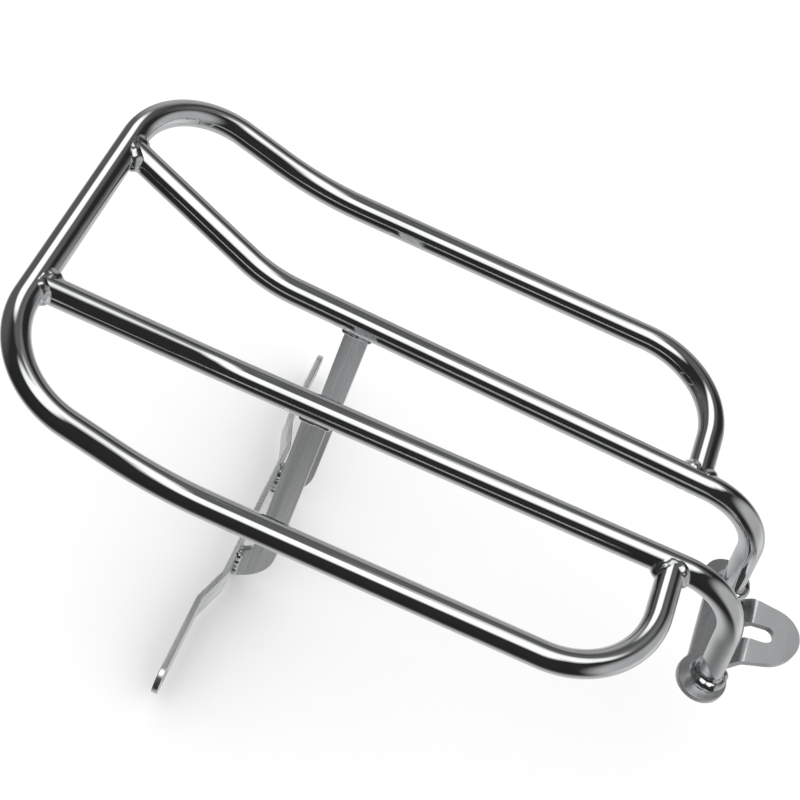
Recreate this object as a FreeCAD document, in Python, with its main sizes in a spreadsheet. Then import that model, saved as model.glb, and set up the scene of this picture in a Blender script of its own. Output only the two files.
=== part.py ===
import FreeCAD, Part
import math
import os
from FreeCAD import Placement, Rotation, Vector

# Welded tube luggage rack for the rear fender of a solo-seat motorcycle.
# Frame: +X forward, towards the slotted mounting tongue, +Y to the left, +Z up.
# The origin is under the middle of the rack, level with its lowest edge.
# Stations below are distances along X from the hoop's two front ends; heights are
# measured from the plane of the deck's tube centrelines unless a note says otherwise.

doc = FreeCAD.newDocument("solo_rack")

# Driving dimensions
DIMENSIONS = [
    ("tube_diameter", 12.7, "outside diameter of hoop and rails, half-inch tube"),
    ("tube_wall", 1.65, "wall thickness of the tube, 16 gauge"),
    ("cope_gap", 0.05, "gap between a coped tube end and the tube that it meets"),
    ("front_station", 114.01, "X of the hoop's front ends in the rack's frame"),
    ("deck_height", 152.9, "deck plane above the lowest edge"),
    ("deck_half_width", 97.0, "centreline to the hoop's side centreline"),
    ("deck_length", 220.0, "front ends to the start of the kick-up"),
    ("kick_length", 87.0, "kink to the rear bar, along the slope"),
    ("kick_angle", 17.5, "slope of the kicked-up tail, degrees"),
    ("kick_bend_radius", 150.0, "bend of the hoop's sides at the kick"),
    ("front_corner_radius", 44.0, "hoop's front corners, to the centreline"),
    ("rear_corner_radius", 42.5, "hoop's rear corners, to the centreline"),
    ("rail_front_offset", 25.0, "inner rail to the middle at the front ends"),
    ("rail_kink_offset", 29.0, "inner rail to the middle at its kink"),
    ("rail_rear_offset", 47.0, "inner rail to the middle at the rear bar"),
    ("rail_kink_rise", 2.4, "height of the inner rail's kink over the deck plane"),
    ("rail_kink_radius", 80.0, "bend of the inner rail at its kink"),
    ("nose_reach", 36.0, "front ends to the corner of the nose bend"),
    ("nose_radius", 36.5, "bend radius of the rail's nose"),
    ("nose_angle", 81.5, "turn of the rail's nose, degrees"),
    ("nose_splay", 2.7, "how far the nose spreads on its way down"),
    ("plate_drop", 64.4, "deck plane down to the top of the plate's lobes"),
    ("plate_thickness", 3.2, "mounting plate"),
    ("plate_bend_radius", 4.5, "joggle bends of the plate, to mid thickness"),
    ("tongue_rise", 9.6, "tongue above the lobes at the joggle's end"),
    ("tongue_slope", 12.0, "rise of the tongue towards its tip, degrees"),
    ("joggle_start", 50.5, "station where the joggle starts to rise"),
    ("joggle_end", 57.0, "station where the tongue starts"),
    ("lobe_station", 43.0, "centre of the round lobes under the rails"),
    ("lobe_offset", 29.5, "lobe centre to the middle"),
    ("lobe_radius", 12.5, "round lobe"),
    ("web_rear_station", 34.0, "rear edge of the plate between the lobes"),
    ("web_fillet", 6.0, "inside corner from rear edge to lobe"),
    ("web_front_station", 46.5, "front edge of the flat part between the lobes"),
    ("tongue_station", 64.8, "centre of the tongue's round tip"),
    ("tongue_radius", 16.5, "round tip of the tongue"),
    ("tongue_taper", 13.5, "lean of the tongue's sides, degrees"),
    ("slot_front_station", 64.4, "front end centre of the slot"),
    ("slot_rear_station", 54.5, "rear end centre of the slot"),
    ("slot_radius", 4.7, "half width of the slot"),
    ("leg_front_station", -166.5, "front edge of the support legs"),
    ("leg_width", 12.0, "leg, along X"),
    ("leg_thickness", 3.0, "leg, along Y"),
    ("heel_radius", 34.0, "round front edge of the foot"),
    ("instep_radius", 10.0, "round inner edge of the foot"),
    ("instep_height", 34.4, "instep centre above the lowest edge"),
    ("instep_station", -188.5, "centre of the instep arc"),
    ("strap_width", 19.0, "cross strap, on edge"),
    ("strap_thickness", 3.0, "cross strap"),
    ("strap_centre_height", 12.9, "strap's middle above the lowest edge"),
    ("strap_station", -186.0, "middle stretch of the strap"),
    ("arm_station", -192.0, "outer arms of the strap"),
    ("arm_joggle_inner", 43.0, "where the strap starts to lean back"),
    ("arm_joggle_outer", 62.0, "where the arm runs straight again"),
    ("strap_bend_radius", 9.0, "strap's bends, to mid thickness"),
    ("arm_hole_offset", 103.5, "bolt hole to the middle"),
    ("arm_hole_radius", 3.4, "clearance hole for a quarter-inch bolt"),
]

sheet = doc.addObject("Spreadsheet::Sheet", "Dimensions")
for row, (name, number, note) in enumerate(DIMENSIONS, start=1):
    sheet.set(f"A{row}", name)
    sheet.set(f"B{row}", str(number))
    sheet.set(f"C{row}", note)
    sheet.setAlias(f"B{row}", name)
doc.recompute()
dim = {name: float(sheet.get(name)) for name, _, _ in DIMENSIONS}

SIDES = [("left", 1), ("right", -1)]
LUMP_TURN = 12  # degrees
# Weld beads: half lengths of the ellipsoids along their own X, Y and Z, and bar sizes.
BEADS = {"rear": (7.5, 10.0, 7.6), "plate": (7.8, 8.7, 4.0), "leg": (9.0, 4.5, 3.5),
         "collar_reach": 11.4, "collar_wall": 1.6, "foot_radius": 3.0, "foot_half_length": 8.55}


def at(station, across, height):
    """Point from a station along X, an offset along Y and a height over the deck plane."""
    return Vector(station + dim["front_station"], across, height + dim["deck_height"])


def bind(target, **expressions):
    """Bind properties of an object to cells of the sheet."""
    for prop, expression in expressions.items():
        target.setExpression(prop, expression)


# Paths and outlines
def rounded_edges(points, radii):
    """Straight runs through the points, joined at the inner ones by tangent arcs."""
    edges, start = [], points[0]
    for before, corner, after, radius in zip(points, points[1:], points[2:], radii):
        into, out = (corner - before).normalize(), (after - corner).normalize()
        turn = into.getAngle(out)
        if turn < 1e-6:
            continue
        reach = radius * math.tan(turn / 2)
        inward = (out - into).normalize()
        first, last = corner - into * reach, corner + out * reach
        middle = corner + inward * (radius / math.cos(turn / 2) - radius)
        edges += [Part.LineSegment(start, first), Part.Arc(first, middle, last)]
        start = last
    return edges + [Part.LineSegment(start, points[-1])]


def strip_outline(points, radius, thickness):
    """Closed outline of a strip that follows flat points (u, v) with bends of one radius."""
    outline = []
    for side in (1, -1):
        offset, radii = [], []
        for i, point in enumerate(points):
            before = (point - points[i - 1] if i else points[1] - point).normalize()
            after = (points[i + 1] - point).normalize() if i + 1 < len(points) else before
            turn = math.atan2(before.x * after.y - before.y * after.x, before.dot(after))
            normal = Vector(-before.y - after.y, before.x + after.x, 0).normalize()
            shift = side * thickness / 2 / math.cos(turn / 2)
            offset.append(point + normal * shift)
            if 0 < i < len(points) - 1:
                radii.append(radius - side * math.copysign(thickness / 2, turn))
        outline.append(rounded_edges(offset, radii))
    top, bottom = outline
    caps = [Part.LineSegment(top[-1].EndPoint, bottom[-1].EndPoint),
            Part.LineSegment(bottom[0].StartPoint, top[0].StartPoint)]
    return top + caps + bottom


# Building blocks
def sketch_body(name, plane, geometry):
    """Body with one sketch on an origin plane; returns both."""
    body = doc.addObject("PartDesign::Body", name)
    sketch = body.newObject("Sketcher::SketchObject", name + "_sketch")
    base = [f for f in body.Origin.OriginFeatures if f.Role == plane][0]
    sketch.AttachmentSupport = [(base, "")]
    sketch.MapMode = "FlatFace"
    for piece in geometry:
        if isinstance(piece, Part.ArcOfCircle) and piece.Axis.z < 0:
            middle = piece.value((piece.FirstParameter + piece.LastParameter) / 2)
            piece = Part.Arc(piece.EndPoint, middle, piece.StartPoint)
        sketch.addGeometry(piece, False)
    doc.recompute()
    return body, sketch


def pad(body, sketch, length):
    feature = body.newObject("PartDesign::Pad", body.Name + "_pad")
    feature.Profile = sketch
    bind(feature, Length=length)
    doc.recompute()
    return feature


def swept(name, edges, radius):
    """Round bar along a path of lines and arcs, with its radius bound to the sheet."""
    path = doc.addObject("Part::Feature", name + "_path")
    path.Shape = Part.Wire([edge.toShape() for edge in edges])
    profile = doc.addObject("Part::Circle", name + "_profile")
    bind(profile, Radius=radius)
    first = edges[0]
    along = (first.EndPoint - first.StartPoint).normalize()
    profile.Placement = Placement(first.StartPoint, Rotation(Vector(0, 0, 1), along))
    sweep = doc.addObject("Part::Sweep", name)
    sweep.Sections = [profile]
    sweep.Spine = (path, [f"Edge{i + 1}" for i in range(len(edges))])
    sweep.Solid, sweep.Frenet = True, False
    doc.recompute()
    return sweep


def boolean(kind, name, base, *tools):
    """Part::Cut or Part::Common of a base with each tool in turn."""
    for count, tool in enumerate(tools, start=1):
        feature = doc.addObject(kind, name if count == len(tools) else f"{name}_step{count}")
        feature.Base, feature.Tool = base, tool
        base = feature
    doc.recompute()
    return base


def lump(centre, turn, radii):
    """Ellipsoid for a weld bead, turned a little so that its seam lies on no other face."""
    blob = doc.addObject("Part::Ellipsoid", "lump")
    blob.Radius1, blob.Radius2, blob.Radius3 = radii[2], radii[0], radii[1]
    blob.Placement = Placement(centre, turn.multiply(Rotation(Vector(0, 0, 1), LUMP_TURN)))
    return blob


def roll(start, end, radius):
    """Round bar for a weld bead, straight from one point to another."""
    bar = doc.addObject("Part::Cylinder", "roll")
    bar.Radius, bar.Height = radius, start.distanceToPoint(end)
    bar.Placement = Placement(start, Rotation(Vector(0, 0, 1), end - start))
    return bar


# Tube paths
slope = math.radians(dim["kick_angle"])
rear_station = -dim["deck_length"] - dim["kick_length"] * math.cos(slope)
rear_height = dim["kick_length"] * math.sin(slope)

hoop_corners = []
for side in (-1, 1):
    half = [at(0, side * dim["rail_front_offset"], 0),
            at(0, side * dim["deck_half_width"], 0),
            at(-dim["deck_length"], side * dim["deck_half_width"], 0),
            at(rear_station, side * dim["deck_half_width"], rear_height)]
    hoop_corners += half if side < 0 else half[::-1]
hoop_radii = [dim["front_corner_radius"], dim["kick_bend_radius"], dim["rear_corner_radius"]]
hoop_edges = rounded_edges(hoop_corners, hoop_radii + hoop_radii[::-1])


def rail_offset(station):
    """Distance from the middle to the rail's centreline on its straight run."""
    taper = (dim["rail_kink_offset"] - dim["rail_front_offset"]) / dim["deck_length"]
    return dim["rail_front_offset"] - taper * station


def rail_edges(side):
    down = math.radians(dim["nose_angle"])
    fall = dim["plate_drop"] + dim["plate_thickness"]
    corner = rail_offset(dim["nose_reach"])
    points = [at(rear_station, side * dim["rail_rear_offset"], rear_height),
              at(-dim["deck_length"], side * dim["rail_kink_offset"], dim["rail_kink_rise"]),
              at(dim["nose_reach"], side * corner, 0),
              at(dim["nose_reach"] + fall / math.tan(down),
                 side * (corner + dim["nose_splay"]), -fall)]
    return rounded_edges(points, [dim["rail_kink_radius"], dim["nose_radius"]])


OUTER = "Dimensions.tube_diameter / 2"
BORE = OUTER + " - Dimensions.tube_wall"
hoop_bar = swept("hoop_bar", hoop_edges, OUTER)
hoop_bore = swept("hoop_bore", hoop_edges, BORE)
rail_bar = {side: swept(f"{side}_rail_bar", rail_edges(sign), OUTER) for side, sign in SIDES}
rail_bore = {side: swept(f"{side}_rail_bore", rail_edges(sign), BORE) for side, sign in SIDES}

# Mounting plate
# A flat part with two lobes, and a tongue cut from a joggled strip that rises between them.
lobe = Vector(dim["lobe_station"], dim["lobe_offset"], 0)
web_reach = dim["lobe_radius"] + dim["web_fillet"]
web_run = dim["lobe_station"] - dim["web_rear_station"] + dim["web_fillet"]
web = Vector(lobe.x - web_run, lobe.y - math.sqrt(web_reach ** 2 - web_run ** 2), 0)
tip = Vector(dim["tongue_station"], 0, 0)


def arc_about(centre, radius, first, last):
    """Arc from one point to the other, on the short way round, about its centre."""
    half_way = ((first - centre).normalize() + (last - centre).normalize()).normalize()
    return Part.Arc(first, centre + half_way * radius, last)


def lobe_half(sign):
    """Outline of the flat part's one side, from its rear edge round the lobe to its front."""
    def here(point):
        return Vector(point.x, sign * point.y, 0)

    lobe_rear = here(lobe + (web - lobe) * (dim["lobe_radius"] / web_reach))
    lobe_outer = here(lobe + Vector(0, dim["lobe_radius"], 0))
    lobe_front = here(lobe + Vector(dim["lobe_radius"], 0, 0))
    front_run = dim["web_front_station"] - lobe.x
    inward = math.sqrt(dim["lobe_radius"] ** 2 - front_run ** 2)
    lobe_inner = here(lobe + Vector(front_run, -inward, 0))
    web_edge = here(Vector(dim["web_rear_station"], web.y, 0))
    return [Part.LineSegment(Vector(web_edge.x, 0, 0), web_edge),
            arc_about(here(web), dim["web_fillet"], web_edge, lobe_rear),
            arc_about(here(lobe), dim["lobe_radius"], lobe_rear, lobe_outer),
            arc_about(here(lobe), dim["lobe_radius"], lobe_outer, lobe_front),
            arc_about(here(lobe), dim["lobe_radius"], lobe_front, lobe_inner),
            Part.LineSegment(lobe_inner, Vector(lobe_inner.x, 0, 0))]


def tongue_half(sign):
    """Outline of the tongue's one side, from its root under the lobes to its tip."""
    lean = math.radians(dim["tongue_taper"])
    touch = tip + Vector(math.sin(lean), sign * math.cos(lean), 0) * dim["tongue_radius"]
    root = Vector(lobe.x, touch.y + sign * (touch.x - lobe.x) * math.tan(lean), 0)
    tongue_end = tip + Vector(dim["tongue_radius"], 0, 0)
    return [Part.LineSegment(Vector(root.x, 0, 0), root),
            Part.LineSegment(root, touch),
            arc_about(tip, dim["tongue_radius"], touch, tongue_end)]


def moved(geometry, shift):
    for piece in geometry:
        piece.translate(shift)
    return geometry


blank_rear = lobe.x - 2 * dim["lobe_radius"]
blank_front = tip.x + 2 * dim["tongue_radius"]
mid_lobe = dim["deck_height"] - dim["plate_drop"] - dim["plate_thickness"] / 2
mid_tongue = mid_lobe + dim["tongue_rise"]
mid_front = mid_tongue + (blank_front - dim["joggle_end"]) * math.tan(
    math.radians(dim["tongue_slope"]))
joggle = [Vector(blank_rear, mid_lobe, 0), Vector(dim["joggle_start"], mid_lobe, 0),
          Vector(dim["joggle_end"], mid_tongue, 0), Vector(blank_front, mid_front, 0)]
to_frame = Vector(dim["front_station"], 0, 0)

blank_body, blank_sketch = sketch_body(
    "tongue_blank", "XZ_Plane",
    moved(strip_outline(joggle, dim["plate_bend_radius"], dim["plate_thickness"]), to_frame))
pad(blank_body, blank_sketch, "4 * Dimensions.lobe_offset")
bind(blank_body, **{"Placement.Base.y": "2 * Dimensions.lobe_offset"})
tongue_body, tongue_sketch = sketch_body(
    "tongue_outline", "XY_Plane", moved(tongue_half(1) + tongue_half(-1), to_frame))
pad(tongue_body, tongue_sketch, "Dimensions.deck_height")
lobe_body, lobe_sketch = sketch_body(
    "lobe_outline", "XY_Plane", moved(lobe_half(1) + lobe_half(-1), to_frame))
pad(lobe_body, lobe_sketch, "Dimensions.plate_thickness")
bind(lobe_body, **{"Placement.Base.z": "Dimensions.deck_height - Dimensions.plate_drop"
                                       " - Dimensions.plate_thickness"})
slot_ends = [Vector(dim[end], 0, 0) for end in ("slot_rear_station", "slot_front_station")]
slot_side = Vector(0, dim["slot_radius"], 0)
slot_tip = Vector(dim["slot_radius"], 0, 0)
slot_body, slot_sketch = sketch_body("plate_slot", "XY_Plane", moved([
    Part.LineSegment(slot_ends[0] + slot_side, slot_ends[1] + slot_side),
    Part.Arc(slot_ends[1] + slot_side, slot_ends[1] + slot_tip, slot_ends[1] - slot_side),
    Part.LineSegment(slot_ends[1] - slot_side, slot_ends[0] - slot_side),
    Part.Arc(slot_ends[0] - slot_side, slot_ends[0] - slot_tip, slot_ends[0] + slot_side),
], to_frame))
pad(slot_body, slot_sketch, "Dimensions.deck_height")
tongue = boolean("Part::Common", "tongue", blank_body, tongue_body)
plate_solid = boolean("Part::Fuse", "plate_solid", lobe_body, tongue)
plate_solid.Refine = True
plate = boolean("Part::Cut", "front_mount_plate", plate_solid, slot_body)

# Cross strap
# Seen from above it leans back between its middle and its arms; seen from behind it
# is a straight strap with round ends and a bolt hole in each.
plan = []
for side in (-1, 1):
    half = [Vector(dim["strap_station"], side * dim["arm_joggle_inner"], 0),
            Vector(dim["arm_station"], side * dim["arm_joggle_outer"], 0),
            Vector(dim["arm_station"], side * (dim["arm_hole_offset"] + dim["strap_width"]), 0)]
    plan += half[::-1] if side < 0 else half
plan_body, plan_sketch = sketch_body(
    "strap_plan", "XY_Plane",
    moved(strip_outline(plan, dim["strap_bend_radius"], dim["strap_thickness"]), to_frame))
pad(plan_body, plan_sketch, "Dimensions.strap_centre_height + Dimensions.strap_width")

end_radius, end_height = dim["strap_width"] / 2, dim["strap_centre_height"]
elevation = []
for side in (-1, 1):
    centre = Vector(side * dim["arm_hole_offset"], end_height, 0)
    up, out = Vector(0, end_radius, 0), Vector(side * end_radius, 0, 0)
    other = Vector(-centre.x, end_height, 0)
    elevation += [Part.Arc(centre - up, centre + out, centre + up),
                  Part.LineSegment(centre + up * side, other + up * side),
                  Part.Circle(centre, Vector(0, 0, 1), dim["arm_hole_radius"])]
elevation_body, elevation_sketch = sketch_body("strap_elevation", "YZ_Plane", elevation)
pad(elevation_body, elevation_sketch, "Dimensions.strap_width")
bind(elevation_body, **{"Placement.Base.x":
     "Dimensions.front_station + Dimensions.arm_station - Dimensions.strap_width / 2"})
strap = boolean("Part::Common", "cross_strap", plan_body, elevation_body)

# Support legs
leg_front, leg_rear = dim["leg_front_station"], dim["leg_front_station"] - dim["leg_width"]
strap_face = dim["strap_station"] + dim["strap_thickness"] / 2
heel_x = leg_front - dim["heel_radius"]
heel_drop = math.sqrt(dim["heel_radius"] ** 2 - (strap_face - heel_x) ** 2)
instep = Vector(dim["instep_station"], dim["instep_height"], 0)
instep_drop = math.sqrt(dim["instep_radius"] ** 2 - (strap_face - instep.x) ** 2)
leg_top = dim["deck_height"] + dim["rail_kink_rise"]
leg_points = {
    "top_front": Vector(leg_front, leg_top, 0), "ankle_front": Vector(leg_front, heel_drop, 0),
    "toe_bottom": Vector(strap_face, 0, 0),
    "toe_top": Vector(strap_face, instep.y - instep_drop, 0),
    "ankle_rear": Vector(leg_rear, instep.y, 0), "top_rear": Vector(leg_rear, leg_top, 0)}


def leg_outline():
    p = leg_points
    heel = Vector(heel_x, heel_drop, 0)
    return [Part.LineSegment(p["top_rear"], p["top_front"]),
            Part.LineSegment(p["top_front"], p["ankle_front"]),
            arc_about(heel, dim["heel_radius"], p["ankle_front"], p["toe_bottom"]),
            Part.LineSegment(p["toe_bottom"], p["toe_top"]),
            arc_about(instep, dim["instep_radius"], p["toe_top"], p["ankle_rear"]),
            Part.LineSegment(p["ankle_rear"], p["top_rear"])]


leg_station = (leg_front + leg_rear) / 2
leg_offset = rail_offset(leg_station)
legs = {}
for side, sign in SIDES:
    body, sketch = sketch_body(f"{side}_leg_blank", "XZ_Plane", moved(leg_outline(), to_frame))
    pad(body, sketch, "Dimensions.leg_thickness")
    body.Placement = Placement(Vector(0, sign * leg_offset + dim["leg_thickness"] / 2, 0),
                               Rotation())
    legs[side] = boolean("Part::Cut", f"{side}_support_leg", body, rail_bar[side])

# Tubes, bored and coped
below_plate = doc.addObject("Part::Box", "below_plate")
bind(below_plate, Length="4 * Dimensions.tongue_radius", Width="4 * Dimensions.lobe_offset",
     Height="Dimensions.deck_height - Dimensions.plate_drop")
below_plate.Placement = Placement(Vector(dim["front_station"], -2 * dim["lobe_offset"], 0),
                                  Rotation())


def cope(start, end):
    """Two straight bars in the place of a tube: one to cut a bead, and a looser one to cut
    the end of another tube."""
    bars = []
    for radius in (OUTER, OUTER + " + Dimensions.cope_gap"):
        bar = roll(start, end, dim["tube_diameter"] / 2)
        bind(bar, Radius=radius)
        bars.append(bar)
    return bars


rear_run = dim["deck_half_width"] - dim["rear_corner_radius"]
rear_bar, rear_cope = cope(at(rear_station, -rear_run, rear_height),
                           at(rear_station, rear_run, rear_height))
cope_reach = 2 * dim["tube_diameter"]
front_bar, front_cope, cross_bar = {}, {}, {}
for side, sign in SIDES:
    front_bar[side], front_cope[side] = cope(
        at(-cope_reach, sign * rail_offset(-cope_reach), 0),
        at(cope_reach, sign * rail_offset(cope_reach), 0))
    cross_bar[side], _ = cope(at(0, 0, 0), at(0, sign * 2 * cope_reach, 0))
hoop = boolean("Part::Cut", "outer_hoop", hoop_bar, hoop_bore,
               front_cope["left"], front_cope["right"])
rails = {side: boolean("Part::Cut", f"{side}_inner_rail", rail_bar[side], rail_bore[side],
                       rear_cope, below_plate) for side, _ in SIDES}

# Weld beads
pieces = {"outer_hoop": hoop, "front_mount_plate": plate, "cross_strap": strap}
bar_radius = dim["tube_diameter"] / 2
for side, sign in SIDES:
    pieces[f"{side}_inner_rail"] = rails[side]
    pieces[f"{side}_support_leg"] = legs[side]
    rail_end, rail_run = rail_edges(sign)[0].StartPoint, rail_edges(sign)[0].EndPoint
    along = (rail_run - rail_end).normalize()
    nose_end = dim["plate_drop"] / math.tan(math.radians(dim["nose_angle"]))
    nose_across = rail_offset(dim["nose_reach"]) + dim["nose_splay"]
    rail_height = dim["rail_kink_rise"] * leg_station / -dim["deck_length"]
    front_end = at(0, sign * dim["rail_front_offset"], 0)
    front_out = Vector(0, sign, 0)
    foot = Vector(strap_face + dim["front_station"] + BEADS["foot_radius"] / 2, sign * leg_offset,
                  dim["strap_centre_height"])
    foot_half = Vector(0, 0, BEADS["foot_half_length"])
    leg_body = legs[side].Base
    beads = {
        "rear_weld": lump(rail_end + along * bar_radius, Rotation(Vector(1, 0, 0), along),
                          BEADS["rear"]),
        "front_weld": roll(front_end + front_out, front_end + front_out * BEADS["collar_reach"],
                           bar_radius + BEADS["collar_wall"]),
        "plate_weld": lump(at(dim["nose_reach"] + nose_end, sign * nose_across,
                              -dim["plate_drop"]), Rotation(), BEADS["plate"]),
        "leg_weld": lump(at(leg_station, sign * leg_offset, rail_height - bar_radius),
                         Rotation(), BEADS["leg"]),
        "foot_weld": roll(foot - foot_half, foot + foot_half, BEADS["foot_radius"]),
    }
    joined = {
        "rear_weld": (rear_bar, rail_bar[side]),
        "front_weld": (cross_bar[side], front_bar[side]),
        "plate_weld": (rail_bar[side], below_plate, plate),
        "leg_weld": (rail_bar[side], leg_body),
        "foot_weld": (strap, leg_body),
    }
    for joint, blob in beads.items():
        pieces[f"{side}_{joint}"] = boolean("Part::Cut", f"{side}_{joint}", blob, *joined[joint])

# Check and export
doc.recompute()
for item in doc.Objects:
    if {"Invalid", "Error"} & set(item.State):
        raise RuntimeError(f"{item.Name} failed: {item.State}")
os.makedirs("parts", exist_ok=True)
for node, item in pieces.items():
    item.Label = node
    if item.Shape.isNull() or not item.Shape.isValid() or not item.Shape.Solids:
        raise RuntimeError(f"{node} has no valid solid")
    item.Shape.exportStep(f"parts/{node}.step")
    written = Part.read(f"parts/{node}.step")
    if abs(written.Volume - item.Shape.Volume) > 0.01 * item.Shape.Volume:
        raise RuntimeError(f"{node} changed on its way to the file")
    box = item.Shape.BoundBox
    print(f"{node:20s} {len(item.Shape.Solids)} solid, {item.Shape.Volume:9.0f} mm3,",
          f"x {box.XMin:7.1f} {box.XMax:7.1f}  y {box.YMin:7.1f} {box.YMax:7.1f}",
          f" z {box.ZMin:6.1f} {box.ZMax:6.1f}")
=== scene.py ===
import bpy
import math
import random
from mathutils import Matrix, Vector


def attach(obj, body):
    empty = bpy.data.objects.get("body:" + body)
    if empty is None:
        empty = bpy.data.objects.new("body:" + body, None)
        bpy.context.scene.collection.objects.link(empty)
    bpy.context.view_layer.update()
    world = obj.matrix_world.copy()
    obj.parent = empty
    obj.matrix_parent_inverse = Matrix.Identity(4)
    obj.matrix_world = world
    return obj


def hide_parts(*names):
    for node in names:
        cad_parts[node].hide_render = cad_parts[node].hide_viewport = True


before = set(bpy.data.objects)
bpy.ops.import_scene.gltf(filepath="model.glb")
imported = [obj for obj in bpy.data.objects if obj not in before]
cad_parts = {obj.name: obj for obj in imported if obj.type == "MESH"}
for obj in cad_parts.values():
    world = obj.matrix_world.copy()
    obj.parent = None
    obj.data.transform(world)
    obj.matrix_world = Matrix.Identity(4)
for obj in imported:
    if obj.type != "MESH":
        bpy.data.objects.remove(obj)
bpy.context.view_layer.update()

mm = 0.001
sides = (("left", 1), ("right", -1))

# Stations run forward along X from the hoop's front ends, in mm. Heights are over the
# plane of the deck's tube centrelines, in mm, unless a name ends in Z.
place = {"frontX": 114.01 * mm, "deckZ": 152.9 * mm}


def spot(station, across, height):
    return Vector((station * mm + place["frontX"], across * mm, height * mm + place["deckZ"]))


noiseSpan = (0.3, 0.7)  # nearly all of a noise's values lie between these
noiseDetail = {"patches": 4, "grain": 6, "swell": 1}


def newMaterial(name):
    material = bpy.data.materials.new(name)
    material.use_nodes = True
    tree = material.node_tree
    return material, tree, tree.nodes["Principled BSDF"]


def noiseOn(tree, source, stretch, scale, detail, low, high):
    mapping = tree.nodes.new("ShaderNodeMapping")
    mapping.inputs["Scale"].default_value = stretch
    tree.links.new(source, mapping.inputs["Vector"])
    noise = tree.nodes.new("ShaderNodeTexNoise")
    noise.inputs["Scale"].default_value = scale
    noise.inputs["Detail"].default_value = detail
    tree.links.new(mapping.outputs["Vector"], noise.inputs["Vector"])
    spread = tree.nodes.new("ShaderNodeMapRange")
    spread.inputs["From Min"].default_value = noiseSpan[0]
    spread.inputs["From Max"].default_value = noiseSpan[1]
    spread.inputs["To Min"].default_value = low
    spread.inputs["To Max"].default_value = high
    tree.links.new(noise.outputs["Fac"], spread.inputs["Value"])
    return noise.outputs["Fac"], spread.outputs["Result"]


def bumpFrom(tree, height, strength, distance, before=None):
    bump = tree.nodes.new("ShaderNodeBump")
    bump.inputs["Strength"].default_value = strength
    bump.inputs["Distance"].default_value = distance
    tree.links.new(height, bump.inputs["Height"])
    if before:
        tree.links.new(before, bump.inputs["Normal"])
    return bump.outputs["Normal"]


def chrome(name, look):
    # plated metal: dull and bright patches, uneven gloss, a slow swell and a fine grain
    material, tree, shader = newMaterial(name)
    where = tree.nodes.new("ShaderNodeTexCoord").outputs["Object"]
    shader.inputs["Metallic"].default_value = 1.0
    tint = tree.nodes.new("ShaderNodeMix")
    tint.data_type = "RGBA"
    factor, first, second = (tint.inputs[i] for i in (0, 6, 7))
    first.default_value = (*look["dull"], 1)
    second.default_value = (*look["bright"], 1)
    _, patches = noiseOn(tree, where, look["stretch"], look["patchScale"],
                         noiseDetail["patches"], 0, 1)
    tree.links.new(patches, factor)
    tree.links.new(tint.outputs[2], shader.inputs["Base Color"])
    grain, rough = noiseOn(tree, where, look["stretch"], look["grainScale"],
                           noiseDetail["grain"], *look["roughness"])
    tree.links.new(rough, shader.inputs["Roughness"])
    swell, _ = noiseOn(tree, where, look["swellStretch"], look["swellScale"],
                       noiseDetail["swell"], 0, 1)
    normal = bumpFrom(tree, swell, look["swellStrength"], look["swellHeight"])
    normal = bumpFrom(tree, grain, look["grainStrength"], look["grainHeight"], normal)
    tree.links.new(normal, shader.inputs["Normal"])
    return material


finishes = {
    "tubeChrome": chrome("tubeChrome", {
        "dull": (0.66, 0.67, 0.68), "bright": (0.76, 0.77, 0.78),
        "patchScale": 60, "stretch": (1, 1, 1), "grainScale": 900, "roughness": (0.035, 0.085),
        "swellStretch": (1, 1, 1), "swellScale": 22, "swellStrength": 0.25, "swellHeight": 0.0006,
        "grainStrength": 0.05, "grainHeight": 0.00004}),
    "plateChrome": chrome("plateChrome", {
        "dull": (0.57, 0.58, 0.59), "bright": (0.64, 0.65, 0.66),
        "patchScale": 60, "stretch": (1, 0.15, 1), "grainScale": 420, "roughness": (0.25, 0.30),
        "swellStretch": (1, 1, 1), "swellScale": 45, "swellStrength": 0.15, "swellHeight": 0.0005,
        "grainStrength": 0.03, "grainHeight": 0.00003}),
    "strapChrome": chrome("strapChrome", {
        "dull": (0.62, 0.63, 0.64), "bright": (0.90, 0.91, 0.92),
        "patchScale": 260, "stretch": (1, 0.04, 1), "grainScale": 420, "roughness": (0.22, 0.30),
        "swellStretch": (1, 0.3, 1), "swellScale": 70, "swellStrength": 0.25, "swellHeight": 0.0006,
        "grainStrength": 0.05, "grainHeight": 0.00003}),
    "legChrome": chrome("legChrome", {
        "dull": (0.62, 0.63, 0.64), "bright": (0.92, 0.93, 0.94),
        "patchScale": 260, "stretch": (1, 1, 0.03), "grainScale": 420, "roughness": (0.24, 0.32),
        "swellStretch": (1, 1, 0.3), "swellScale": 70, "swellStrength": 0.25, "swellHeight": 0.0006,
        "grainStrength": 0.05, "grainHeight": 0.00003}),
    "weldChrome": chrome("weldChrome", {
        "dull": (0.55, 0.56, 0.57), "bright": (0.76, 0.77, 0.78),
        "patchScale": 260, "stretch": (1, 1, 1), "grainScale": 1500, "roughness": (0.06, 0.16),
        "swellStretch": (1, 1, 1), "swellScale": 260, "swellStrength": 0.3, "swellHeight": 0.0004,
        "grainStrength": 0.1, "grainHeight": 0.00005}),
}
print("finishes made:", ", ".join(finishes))


shaping = {"endStep": 3 * mm, "arcStep": 5, "mergeWithin": 0.02 * mm,
           "edgeAngle": math.radians(38), "smoothBelow": math.radians(45)}


def letGo():
    if bpy.context.mode != "OBJECT":
        bpy.ops.object.mode_set(mode="OBJECT")
    bpy.ops.object.select_all(action="DESELECT")


def pick(piece):
    letGo()
    piece.select_set(True)
    bpy.context.view_layer.objects.active = piece


def settle(name):
    # names the new object and moves its place into its mesh
    piece = bpy.context.object
    piece.name = piece.data.name = name
    bpy.ops.object.transform_apply(location=True, rotation=True, scale=True)
    return piece


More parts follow.
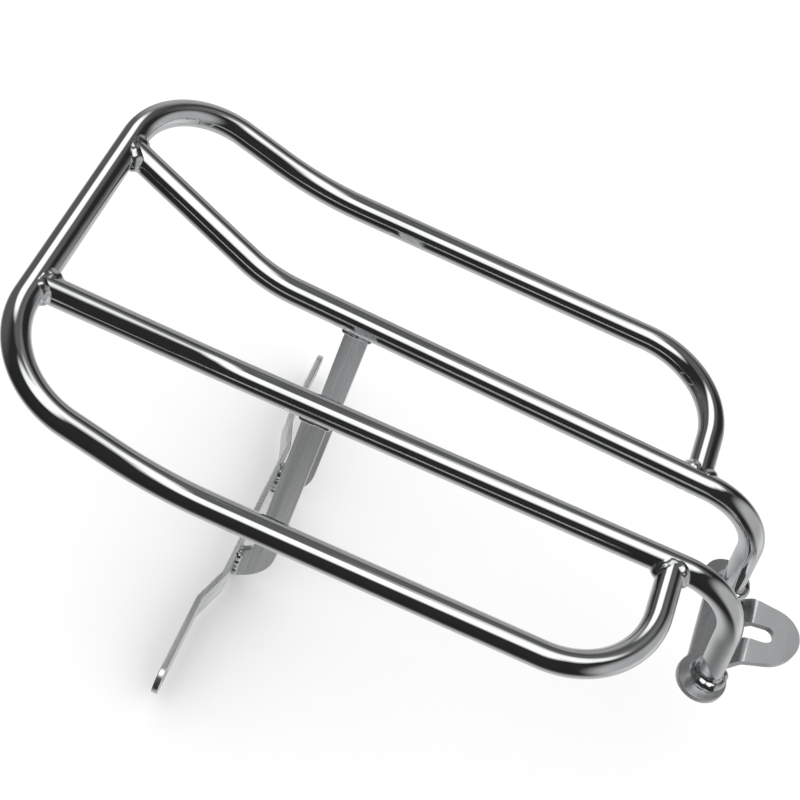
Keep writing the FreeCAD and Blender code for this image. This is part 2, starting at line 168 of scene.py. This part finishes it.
def startSection(name, points, width, height, corners):
    # an open ring at the first point, square to the run that leaves it
    letGo()
    along = (points[1] - points[0]).normalized()
    turn = along.to_track_quat("Z", "Y").to_euler()
    if corners == 4:
        bpy.ops.mesh.primitive_plane_add(size=2, location=points[0], rotation=turn)
        bpy.ops.object.mode_set(mode="EDIT")
        bpy.ops.mesh.delete(type="ONLY_FACE")
        bpy.ops.object.mode_set(mode="OBJECT")
    else:
        bpy.ops.mesh.primitive_circle_add(vertices=corners, radius=1, location=points[0],
                                          rotation=turn)
    bpy.context.object.scale = (width / 2, height / 2, 1)
    return settle(name)


def pushOn(step):
    bpy.ops.mesh.extrude_region_move(TRANSFORM_OT_translate={"value": step})


def runOn(step):
    # short end steps keep a straight run's shading straight
    length = step.length
    guard = min(shaping["endStep"], length / 3)
    for share in (guard, length - 2 * guard, guard):
        pushOn(step.normalized() * share)


def bendAlong(points, radii, bendStep):
    # straight runs through the points, with a spun bend at each corner
    bpy.ops.object.mode_set(mode="EDIT")
    bpy.ops.mesh.select_all(action="SELECT")
    here = points[0]
    for before, corner, after, radius in zip(points, points[1:], points[2:], radii):
        into, out = (corner - before).normalized(), (after - corner).normalized()
        turn = into.angle(out)
        reach = radius * math.tan(turn / 2)
        runOn(corner - into * reach - here)
        centre = corner + (out - into).normalized() * radius / math.cos(turn / 2)
        bpy.ops.mesh.spin(steps=max(4, round(math.degrees(turn) / bendStep)), angle=turn,
                          center=centre, axis=out.cross(into).normalized())
        here = corner + out * reach
    runOn(points[-1] - here)
    closeUp()


def closeUp():
    bpy.ops.mesh.select_all(action="SELECT")
    bpy.ops.mesh.remove_doubles(threshold=1e-6)
    bpy.ops.mesh.fill_holes(sides=0)
    bpy.ops.mesh.select_all(action="SELECT")
    bpy.ops.mesh.normals_make_consistent(inside=False)
    bpy.ops.object.mode_set(mode="OBJECT")


def applyAll(piece):
    pick(piece)
    for modifier in list(piece.modifiers):
        bpy.ops.object.modifier_apply(modifier=modifier.name)


def combine(piece, tool, how):
    # boolean with a tool that is then thrown away
    step = piece.modifiers.new(how.lower(), "BOOLEAN")
    step.operation, step.object, step.solver = how, tool, "EXACT"
    applyAll(piece)
    bpy.data.objects.remove(tool, do_unlink=True)


def roundEdges(piece, width):
    rounding = piece.modifiers.new("rounding", "BEVEL")
    rounding.width, rounding.segments = width, 3
    rounding.limit_method, rounding.angle_limit = "ANGLE", shaping["edgeAngle"]
    rounding.use_clamp_overlap = True
    rounding.harden_normals = False
    applyAll(piece)


def evenShade(piece):
    pick(piece)
    bpy.ops.object.shade_smooth_by_angle(angle=shaping["smoothBelow"])
    weigh = piece.modifiers.new("weigh", "WEIGHTED_NORMAL")
    weigh.keep_sharp = True
    applyAll(piece)


def finishPiece(piece, finish, slotName, *nodes):
    piece.data.materials.clear()
    piece.data.materials.append(finishes[finish])
    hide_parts(*nodes)
    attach(piece, "root")


tubing = {"size": 12.7 * mm, "corners": 72, "bendStep": 2.5, "smoothBelow": math.radians(50)}
tubeRadius = tubing["size"] / 2


def addTube(name, points, radii):
    piece = startSection(name, points, tubing["size"], tubing["size"], tubing["corners"])
    bendAlong(points, radii, tubing["bendStep"])
    pick(piece)
    bpy.ops.object.shade_smooth_by_angle(angle=tubing["smoothBelow"])
    return piece


hoop = {"halfWidth": 97.0, "deckLength": 220.0, "kickLength": 87.0,
        "kickAngle": math.radians(17.5), "frontBend": 44.0 * mm, "kickBend": 150.0 * mm,
        "rearBend": 42.5 * mm, "endOffset": 25.5}
rearStation = -hoop["deckLength"] - hoop["kickLength"] * math.cos(hoop["kickAngle"])
rearHeight = hoop["kickLength"] * math.sin(hoop["kickAngle"])


def hoopRoute():
    half = [(0, hoop["endOffset"], 0), (0, hoop["halfWidth"], 0),
            (-hoop["deckLength"], hoop["halfWidth"], 0),
            (rearStation, hoop["halfWidth"], rearHeight)]
    right = [spot(x, -y, z) for x, y, z in half]
    left = [spot(x, y, z) for x, y, z in reversed(half)]
    bends = [hoop["frontBend"], hoop["kickBend"], hoop["rearBend"]]
    return right + left, bends + bends[::-1]


finishPiece(addTube("outerHoop", *hoopRoute()), "tubeChrome", "chrome_tube", "outer_hoop")
print("outer hoop bent")

rail = {"frontOffset": 25.0, "kinkOffset": 29.0, "rearOffset": 47.0, "kinkRise": 2.4,
        "kinkBend": 80.0 * mm, "noseReach": 36.0, "noseBend": 36.5 * mm,
        "noseAngle": math.radians(81.5), "noseSplay": 2.7, "drop": 64.4, "intoPlate": 1.6,
        "endGap": 0.5}


def railOffset(station):
    taper = (rail["kinkOffset"] - rail["frontOffset"]) / hoop["deckLength"]
    return rail["frontOffset"] - taper * station


def railRoute(sign):
    fall = rail["drop"] + rail["intoPlate"]
    corner = railOffset(rail["noseReach"])
    return [spot(rearStation + rail["endGap"], sign * rail["rearOffset"], rearHeight),
            spot(-hoop["deckLength"], sign * rail["kinkOffset"], rail["kinkRise"]),
            spot(rail["noseReach"], sign * corner, 0),
            spot(rail["noseReach"] + fall / math.tan(rail["noseAngle"]),
                 sign * (corner + rail["noseSplay"]), -fall)]


for side, sign in sides:
    finishPiece(addTube(side + "Rail", railRoute(sign), [rail["kinkBend"], rail["noseBend"]]),
                "tubeChrome", "chrome_tube", side + "_inner_rail")
print("inner rails bent")

plate = {"top": -64.4, "thick": 3.2, "bend": 4.5 * mm, "rise": 9.6, "slope": math.radians(12),
         "stepStart": 50.5, "stepEnd": 57.0, "lobeStation": 43.0, "lobeOffset": 29.5,
         "lobeRadius": 12.5, "webStation": 34.0, "webFillet": 6.0, "webFront": 46.5,
         "tongueStation": 64.8, "tongueRadius": 16.5, "taper": math.radians(13.5),
         "slotStart": 54.5, "slotEnd": 64.4, "slotRadius": 4.7, "rounding": 0.4 * mm,
         "blankRear": 10, "blankFront": 110, "blankWidth": 124 * mm, "bendStep": 4,
         "slotCorners": 64, "cutDepth": 60 * mm, "outlineDepth": 40 * mm}


def walkOutline(name, start, moves, toWorld):
    # traces an outline with a dragged and spun point; moves are ("to", u, v) for a straight
    # edge, or ("round", centre u, centre v, degrees) for an arc, counter-clockwise if positive
    letGo()
    bpy.ops.mesh.primitive_plane_add(size=1 * mm, location=toWorld(*start))
    piece = settle(name)
    bpy.ops.object.mode_set(mode="EDIT")
    bpy.ops.mesh.select_all(action="SELECT")
    bpy.ops.mesh.merge(type="CENTER")
    u, v = start
    normal = (toWorld(1, 0) - toWorld(0, 0)).cross(toWorld(0, 1) - toWorld(0, 0)).normalized()
    for move in moves:
        if move[0] == "to":
            pushOn(toWorld(*move[1:]) - toWorld(u, v))
            u, v = move[1:]
        else:
            _, cu, cv, degrees = move
            turn = math.radians(degrees)
            bpy.ops.mesh.spin(steps=max(6, round(abs(degrees) / shaping["arcStep"])),
                              angle=abs(turn), center=toWorld(cu, cv),
                              axis=normal * math.copysign(1, -degrees))
            du, dv = u - cu, v - cv
            u = cu + du * math.cos(turn) - dv * math.sin(turn)
            v = cv + du * math.sin(turn) + dv * math.cos(turn)
    bpy.ops.mesh.select_all(action="SELECT")
    bpy.ops.mesh.remove_doubles(threshold=shaping["mergeWithin"])
    bpy.ops.mesh.select_all(action="SELECT")
    bpy.ops.mesh.edge_face_add()
    return piece


def thicken(step):
    bpy.ops.mesh.select_all(action="SELECT")
    bpy.ops.mesh.extrude_region_move(TRANSFORM_OT_translate={"value": step})
    closeUp()


def angleOf(centre, point):
    return math.degrees(math.atan2(point[1] - centre[1], point[0] - centre[0]))


def lobeMoves():
    # round one lobe by its tangent points, across, and round the other
    lobe = (plate["lobeStation"], plate["lobeOffset"])
    webReach = plate["lobeRadius"] + plate["webFillet"]
    webRun = plate["lobeStation"] - plate["webStation"] + plate["webFillet"]
    web = (lobe[0] - webRun, lobe[1] - math.sqrt(webReach ** 2 - webRun ** 2))
    webTurn = angleOf(web, lobe)
    frontRun = plate["webFront"] - lobe[0]
    inner = lobe[1] - math.sqrt(plate["lobeRadius"] ** 2 - frontRun ** 2)
    lobeTurn = angleOf(lobe, (plate["webFront"], inner)) - webTurn - 180
    moves = [("to", plate["webStation"], web[1]), ("round", *web, webTurn),
             ("round", *lobe, lobeTurn), ("to", plate["webFront"], -inner),
             ("round", lobe[0], -lobe[1], lobeTurn), ("round", web[0], -web[1], webTurn)]
    return (plate["webStation"], -web[1]), moves


def tongueMoves():
    lean = plate["taper"]
    touch = (plate["tongueStation"] + plate["tongueRadius"] * math.sin(lean),
             plate["tongueRadius"] * math.cos(lean))
    root = touch[1] + (touch[0] - plate["lobeStation"]) * math.tan(lean)
    moves = [("to", plate["lobeStation"], root), ("to", *touch),
             ("round", plate["tongueStation"], 0, 2 * math.degrees(lean) - 180),
             ("to", plate["lobeStation"], -root)]
    return (plate["lobeStation"], -root), moves


def onPlate(u, v):
    return spot(u, v, plate["top"] - plate["thick"])


def addStadium(name, centre, half, radius, corners, turn, depth):
    # a round prism whose two halves are pulled apart along the local X
    letGo()
    bpy.ops.mesh.primitive_circle_add(vertices=corners, radius=radius, fill_type="NGON",
                                      location=(0, 0, 0), rotation=(0, 0, math.pi / corners))
    piece = settle(name)
    for vertex in piece.data.vertices:
        vertex.co.x += math.copysign(half, vertex.co.x)
    bpy.ops.object.mode_set(mode="EDIT")
    thicken(Vector((0, 0, depth)))
    piece.matrix_world = Matrix.Translation(centre) @ turn.to_4x4() @ Matrix.Translation(
        (0, 0, -depth / 2))
    pick(piece)
    bpy.ops.object.transform_apply(location=True, rotation=True, scale=True)
    return piece


def addPlate():
    # flat lobes, and a joggled tongue that rises between them
    lobes = walkOutline("plateLobes", *lobeMoves(), onPlate)
    thicken(Vector((0, 0, plate["thick"] * mm)))
    roundEdges(lobes, plate["rounding"])
    low = plate["top"] - plate["thick"] / 2
    high = low + plate["rise"]
    tip = high + (plate["blankFront"] - plate["stepEnd"]) * math.tan(plate["slope"])
    route = [spot(plate["blankRear"], 0, low), spot(plate["stepStart"], 0, low),
             spot(plate["stepEnd"], 0, high), spot(plate["blankFront"], 0, tip)]
    blank = startSection("mountPlate", route, plate["blankWidth"], plate["thick"] * mm, 4)
    bendAlong(route, [plate["bend"], plate["bend"]], plate["bendStep"])
    outline = walkOutline("tongueOutline", *tongueMoves(), onPlate)
    bpy.ops.mesh.select_all(action="SELECT")
    bpy.ops.transform.translate(value=(0, 0, -plate["outlineDepth"] / 4))
    thicken(Vector((0, 0, plate["outlineDepth"])))
    combine(blank, outline, "INTERSECT")
    middle = (plate["slotStart"] + plate["slotEnd"]) / 2
    slot = addStadium("plateSlot", spot(middle, 0, plate["top"]),
                      (plate["slotEnd"] - plate["slotStart"]) / 2 * mm,
                      plate["slotRadius"] * mm, plate["slotCorners"], Matrix.Identity(3),
                      plate["cutDepth"])
    combine(blank, slot, "DIFFERENCE")
    roundEdges(blank, plate["rounding"])
    combine(blank, lobes, "UNION")
    evenShade(blank)
    return blank


finishPiece(addPlate(), "plateChrome", "chrome_plate", "front_mount_plate")
print("mounting plate cut and joggled")

strap = {"width": 19.0, "thick": 3.0, "middleZ": 12.9 * mm, "station": -186.0,
         "armStation": -192.0, "leanInner": 43.0, "leanOuter": 62.0, "bend": 9.0 * mm,
         "holeOffset": 103.5, "holeRadius": 3.4, "rounding": 0.4 * mm, "bendStep": 4,
         "endCorners": 80, "endTrim": 0.002 * mm, "holeCorners": 48, "cutStation": -190,
         "cutDepth": 40 * mm}


def strapSpot(station, across):
    return Vector((station * mm + place["frontX"], across * mm, strap["middleZ"]))


def addStrap():
    half = [(strap["station"], strap["leanInner"]), (strap["armStation"], strap["leanOuter"]),
            (strap["armStation"], strap["holeOffset"] + strap["width"])]
    route = [strapSpot(x, -y) for x, y in reversed(half)] + [strapSpot(x, y) for x, y in half]
    bar = startSection("crossStrap", route, strap["thick"] * mm, strap["width"] * mm, 4)
    bendAlong(route, [strap["bend"]] * 4, strap["bendStep"])
    upright = Matrix(((0, 0, 1), (1, 0, 0), (0, 1, 0)))  # local X to Y, local Z to X
    ends = addStadium("strapEnds", strapSpot(strap["cutStation"], 0), strap["holeOffset"] * mm,
                      strap["width"] / 2 * mm - strap["endTrim"], strap["endCorners"], upright,
                      strap["cutDepth"])
    combine(bar, ends, "INTERSECT")
    for _, sign in sides:
        letGo()
        bpy.ops.mesh.primitive_cylinder_add(
            vertices=strap["holeCorners"], radius=strap["holeRadius"] * mm,
            depth=strap["cutDepth"] / 2, rotation=(0, math.pi / 2, 0),
            location=strapSpot(strap["armStation"], sign * strap["holeOffset"]))
        combine(bar, settle("strapHole"), "DIFFERENCE")
    roundEdges(bar, strap["rounding"])
    evenShade(bar)
    return bar


finishPiece(addStrap(), "strapChrome", "chrome_strap", "cross_strap")
print("cross strap bent and drilled")

leg = {"frontStation": -166.5, "width": 12.0, "thick": 3.0, "heel": 34.0, "instep": 10.0,
       "instepZ": 34.4, "instepStation": -188.5, "intoStrap": 0.4, "topGap": 1.0,
       "rounding": 0.4 * mm}
legStation = leg["frontStation"] - leg["width"] / 2
legOffset = railOffset(legStation)
strapFace = strap["station"] + strap["thick"] / 2


def addLeg(side, sign):
    face = strapFace - leg["intoStrap"]
    heel = (leg["frontStation"] - leg["heel"],
            math.sqrt(leg["heel"] ** 2 - (strapFace - leg["frontStation"] + leg["heel"]) ** 2))
    instep = (leg["instepStation"], leg["instepZ"])
    toeLow = (face, heel[1] - math.sqrt(leg["heel"] ** 2 - (face - heel[0]) ** 2))
    toeHigh = (face, instep[1] - math.sqrt(leg["instep"] ** 2 - (face - instep[0]) ** 2))
    top = place["deckZ"] / mm + rail["kinkRise"] - leg["topGap"]
    rear = leg["frontStation"] - leg["width"]
    moves = [("to", leg["frontStation"], heel[1]),
             ("round", *heel, angleOf(heel, toeLow)),
             ("to", *toeHigh),
             ("round", *instep, -angleOf(instep, toeHigh)),
             ("to", rear, top), ("to", leg["frontStation"], top)]
    across = (sign * legOffset - leg["thick"] / 2) * mm
    piece = walkOutline(side + "Leg", (leg["frontStation"], top), moves,
                        lambda u, v: Vector((u * mm + place["frontX"], across, v * mm)))
    thicken(Vector((0, leg["thick"] * mm, 0)))
    roundEdges(piece, leg["rounding"])
    evenShade(piece)
    return piece


for side, sign in sides:
    finishPiece(addLeg(side, sign), "legChrome", "chrome_strap", side + "_support_leg")
print("support legs shaped")

weld = {"grain": 0.45 * mm, "unevenness": 0.16, "seed": 7, "stub": tubeRadius - 0.1 * mm,
        "stubCorners": 48, "lumpSize": 3.2 * mm, "lumpHeight": 0.32 * mm, "lumpLevel": 0.55}
chance = random.Random(weld["seed"])
lumps = bpy.data.textures.new("weldLumps", "CLOUDS")
lumps.noise_scale, lumps.noise_depth = weld["lumpSize"], 1


def uneven(size):
    return size * (1 + weld["unevenness"] * chance.uniform(-1, 1))


saddleWeld = {"drop": 2.9 * mm, "count": 34, "sink": -1.05, "valleyLift": 1.4, "smoothing": 60,
              "rearReach": 9.5 * mm, "behind": 10 * mm, "ahead": 8 * mm, "branchReach": 13 * mm}


def saddleDrops(centre, crossing, branch):
    # drops of weld metal in the valley of a tube that ends on another of the same size
    drops = []
    sideways = crossing.cross(branch).normalized()
    level = branch.cross(sideways)
    slanted = branch - crossing * branch.dot(crossing)
    for step in range(saddleWeld["count"]):
        turn = 2 * math.pi * step / saddleWeld["count"]
        radial = level * math.cos(turn) + sideways * math.sin(turn)
        flat = (radial - crossing * radial.dot(crossing)) * tubeRadius
        mixed = flat.dot(slanted)
        short = flat.length_squared - tubeRadius ** 2
        root = max(0, mixed ** 2 - slanted.length_squared * short)
        reach = (math.sqrt(root) - mixed) / slanted.length_squared
        outward = (flat + slanted * reach).normalized()
        valley = (outward + radial).normalized()
        depth = math.sqrt(max(0, (1 - outward.dot(radial)) / 2))
        radius = uneven(saddleWeld["drop"])
        lift = radius * (saddleWeld["sink"] + saddleWeld["valleyLift"] * depth)
        drops.append((centre + radial * tubeRadius + branch * reach + valley * lift, radius))
    return drops


def ringDrops(centre, normal):
    across = normal.orthogonal().normalized()
    drops = []
    for step in range(plateWeld["count"]):
        radius = uneven(plateWeld["drop"])
        turn = Matrix.Rotation(2 * math.pi * step / plateWeld["count"], 3, normal)
        radial = turn @ across
        drops.append((centre + radial * plateWeld["ringRadius"] + normal * plateWeld["lift"],
                      radius))
    return drops


def lineDrops(start, end, bead):
    last = bead["count"] - 1
    return [(start.lerp(end, step / last), uneven(bead["drop"]))
            for step in range(bead["count"])]


def addStub(start, end, radius):
    bpy.ops.mesh.primitive_cylinder_add(
        vertices=weld["stubCorners"], radius=radius, depth=(end - start).length,
        location=(start + end) / 2, rotation=(end - start).to_track_quat("Z", "Y").to_euler())


def addBead(name, stubs, drops, smoothing, *nodes):
    # stubs of the joined parts and drops of metal, melted into one skin that stands out of
    # the parts only where they meet
    letGo()
    centre, radius = drops[0]
    bpy.ops.mesh.primitive_ico_sphere_add(subdivisions=3, radius=radius, location=centre)
    piece = settle(name)
    bpy.ops.object.mode_set(mode="EDIT")
    for centre, radius in drops[1:]:
        bpy.ops.mesh.primitive_ico_sphere_add(subdivisions=3, radius=radius, location=centre)
    for stub in stubs:
        addStub(*stub)
    bpy.ops.object.mode_set(mode="OBJECT")
    piece.data.remesh_voxel_size = weld["grain"]
    bpy.ops.object.voxel_remesh()
    calm = piece.modifiers.new("calm", "SMOOTH")
    calm.factor, calm.iterations = 0.5, smoothing
    lumpy = piece.modifiers.new("lumpy", "DISPLACE")
    lumpy.texture, lumpy.texture_coords = lumps, "LOCAL"
    lumpy.strength, lumpy.mid_level = weld["lumpHeight"], weld["lumpLevel"]
    applyAll(piece)
    bpy.ops.object.shade_smooth()
    finishPiece(piece, "weldChrome", "chrome_weld", *nodes)


def addRearWeld(side, sign):
    end = spot(rearStation, sign * rail["rearOffset"], rearHeight)
    kink = spot(-hoop["deckLength"], sign * rail["kinkOffset"], rail["kinkRise"])
    tail = (kink - end).normalized()
    bar = Vector((0, 1, 0))
    reach = bar * saddleWeld["rearReach"]
    addBead(side + "RearWeld",
            [(end - reach, end + reach, weld["stub"]),
             (end, end + tail * saddleWeld["branchReach"], weld["stub"])],
            saddleDrops(end, bar, tail), saddleWeld["smoothing"], side + "_rear_weld")


def addFrontWeld(side, sign):
    rear, front = (spot(x, sign * railOffset(x), 0) for x in (-100, 0))
    run = (front - rear).normalized()
    end = spot(0, sign * rail["frontOffset"], 0)
    out = Vector((0, sign, 0))
    addBead(side + "FrontWeld",
            [(end - run * saddleWeld["behind"], end + run * saddleWeld["ahead"], weld["stub"]),
             (end, end + out * saddleWeld["branchReach"], weld["stub"])],
            saddleDrops(end, run, out), saddleWeld["smoothing"], side + "_front_weld")


plateWeld = {"discRadius": tubeRadius + 2.6 * mm, "discTop": 0.15 * mm, "discBottom": 2.4 * mm,
             "noseReach": 7 * mm, "ringRadius": tubeRadius + 0.4 * mm, "drop": 2.7 * mm,
             "count": 26, "lift": 0.9 * mm, "smoothing": 26}


def addPlateWeld(side, sign):
    foot = spot(rail["noseReach"] + rail["drop"] / math.tan(rail["noseAngle"]),
                sign * (railOffset(rail["noseReach"]) + rail["noseSplay"]), -rail["drop"])
    up = Vector((0, 0, 1))
    noseUp = Vector((-math.cos(rail["noseAngle"]), 0, math.sin(rail["noseAngle"])))
    addBead(side + "PlateWeld",
            [(foot - up * plateWeld["discBottom"], foot - up * plateWeld["discTop"],
              plateWeld["discRadius"]),
             (foot, foot + noseUp * plateWeld["noseReach"], weld["stub"])],
            ringDrops(foot, up), plateWeld["smoothing"], side + "_plate_weld")


legWeld = {"gap": 0.7, "halfLength": 6.0, "sink": 0.2, "drop": 2.0 * mm, "count": 10,
           "smoothing": 10}


def addLegWeld(side, sign):
    railLow = rail["kinkRise"] * legStation / -hoop["deckLength"] - tubeRadius / mm
    height = railLow - legWeld["sink"]
    drops = []
    for edge in (-1, 1):
        across = sign * legOffset + edge * (leg["thick"] / 2 + legWeld["gap"])
        drops += lineDrops(spot(legStation - legWeld["halfLength"], across, height),
                           spot(legStation + legWeld["halfLength"], across, height), legWeld)
    addBead(side + "LegWeld", [], drops, legWeld["smoothing"], side + "_leg_weld")


footWeld = {"gap": 0.7, "ahead": 0.8, "below": 7.6 * mm, "above": 8.4 * mm, "drop": 2.1 * mm,
            "count": 11, "smoothing": 10}


def addFootWeld(side, sign):
    drops = []
    for edge in (-1, 1):
        middle = strapSpot(strapFace + footWeld["ahead"],
                           sign * legOffset + edge * (leg["thick"] / 2 + footWeld["gap"]))
        drops += lineDrops(middle - Vector((0, 0, footWeld["below"])),
                           middle + Vector((0, 0, footWeld["above"])), footWeld)
    addBead(side + "FootWeld", [], drops, footWeld["smoothing"], side + "_foot_weld")


for side, sign in sides:
    for addWeld in (addRearWeld, addFrontWeld, addPlateWeld, addLegWeld, addFootWeld):
        addWeld(side, sign)
print("weld beads laid")

ground = {"size": 12, "shade": (0.86, 0.86, 0.86, 1), "roughness": 0.9}
letGo()
bpy.ops.mesh.primitive_plane_add(size=ground["size"], location=(0, 0, 0))
floor = bpy.context.object
floor.name = "paleFloor"
paper, _, paperShader = newMaterial("palePaper")
paperShader.inputs["Base Color"].default_value = ground["shade"]
paperShader.inputs["Roughness"].default_value = ground["roughness"]
paperShader.inputs["Specular IOR Level"].default_value = 0.0
floor.data.materials.append(paper)
floor.visible_glossy = False  # the chrome mirrors the pale lower half of the studio instead
print("floor laid")

# Soft patches of light round the rack, each by its azimuth from +Y towards +X and its
# elevation, the angles from its middle where it starts to fade and where it ends, and its
# strength. Only the chrome sees them: the floor is lit by the even dome.
studio = {
    "base": 0.03, "backdrop": 1.25, "dome": 1.62,
    "patches": [
        ("overhead softbox, near", 190, 68, 9, 25, 1.7),
        ("overhead softbox, middle", 119, 75, 5, 18, 1.1),
        ("overhead softbox, front", 63, 71, 5, 18, 1.3),
        ("back softbox", -36, 45, 9, 22, 1.9),
        ("table", 32, -68, 27, 74, 0.75),
        ("far wall", -5, 3, 6, 40, 0.5),
        ("front wall", 93, 2, 26, 50, 0.6),
        ("left wall", -60, 0, 25, 58, 0.12),
        ("upper far wall", 0, 65, 13, 33, 0.14),
        ("upper front wall", 50, 56, 6, 21, 0.16),
    ],
}


def towards(azimuth, elevation):
    a, e = math.radians(azimuth), math.radians(elevation)
    return Vector((math.sin(a) * math.cos(e), math.cos(a) * math.cos(e), math.sin(e)))


def buildStudio():
    world = bpy.data.worlds.new("studio")
    world.use_nodes = True
    tree = world.node_tree
    tree.nodes.clear()
    sky = tree.nodes.new("ShaderNodeTexCoord").outputs["Generated"]
    total = None
    for label, azimuth, elevation, fadeFrom, fadeTo, strength in studio["patches"]:
        near = tree.nodes.new("ShaderNodeVectorMath")
        near.operation = "DOT_PRODUCT"
        near.label = label
        near.inputs[1].default_value = towards(azimuth, elevation)
        tree.links.new(sky, near.inputs[0])
        fade = tree.nodes.new("ShaderNodeMapRange")
        fade.interpolation_type = "SMOOTHSTEP"
        fade.inputs["From Min"].default_value = math.cos(math.radians(fadeTo))
        fade.inputs["From Max"].default_value = math.cos(math.radians(fadeFrom))
        fade.inputs["To Min"].default_value = 0
        fade.inputs["To Max"].default_value = strength
        tree.links.new(near.outputs["Value"], fade.inputs["Value"])
        add = tree.nodes.new("ShaderNodeMath")
        add.operation = "ADD"
        tree.links.new(fade.outputs["Result"], add.inputs[0])
        if total is None:
            add.inputs[1].default_value = studio["base"]
        else:
            tree.links.new(total, add.inputs[1])
        total = add.outputs["Value"]
    rays = tree.nodes.new("ShaderNodeLightPath")
    shown = None
    for ray, strength in ((None, studio["dome"]), ("Is Glossy Ray", total),
                          ("Is Camera Ray", studio["backdrop"])):
        light = tree.nodes.new("ShaderNodeBackground")
        if ray == "Is Glossy Ray":
            tree.links.new(strength, light.inputs["Strength"])
        else:
            light.inputs["Strength"].default_value = strength
        if ray:
            mix = tree.nodes.new("ShaderNodeMixShader")
            tree.links.new(rays.outputs[ray], mix.inputs["Fac"])
            tree.links.new(shown, mix.inputs[1])
            tree.links.new(light.outputs["Background"], mix.inputs[2])
            light = mix
        shown = light.outputs[0]
    tree.links.new(shown, tree.nodes.new("ShaderNodeOutputWorld").inputs["Surface"])
    bpy.context.scene.world = world


buildStudio()

camera = {"place": (-0.02739, -0.4992, 0.7697), "right": (0.91174, 0.2978, 0.2829),
          "down": (0.40962, -0.71047, -0.57222), "ahead": (0.03059, 0.63761, -0.76976),
          "lens": 78.42, "shiftX": -0.075}
letGo()
bpy.ops.object.camera_add(location=camera["place"])
eye = bpy.context.object
turn = Matrix((camera["right"], -Vector(camera["down"]), -Vector(camera["ahead"]))).transposed()
eye.matrix_world = Matrix.Translation(camera["place"]) @ turn.to_4x4()
eye.data.lens = camera["lens"]
eye.data.shift_x = camera["shiftX"]
eye.data.dof.use_dof = False
bpy.context.scene.camera = eye
bpy.context.scene.view_settings.view_transform = "Standard"
print("studio lit, camera set")
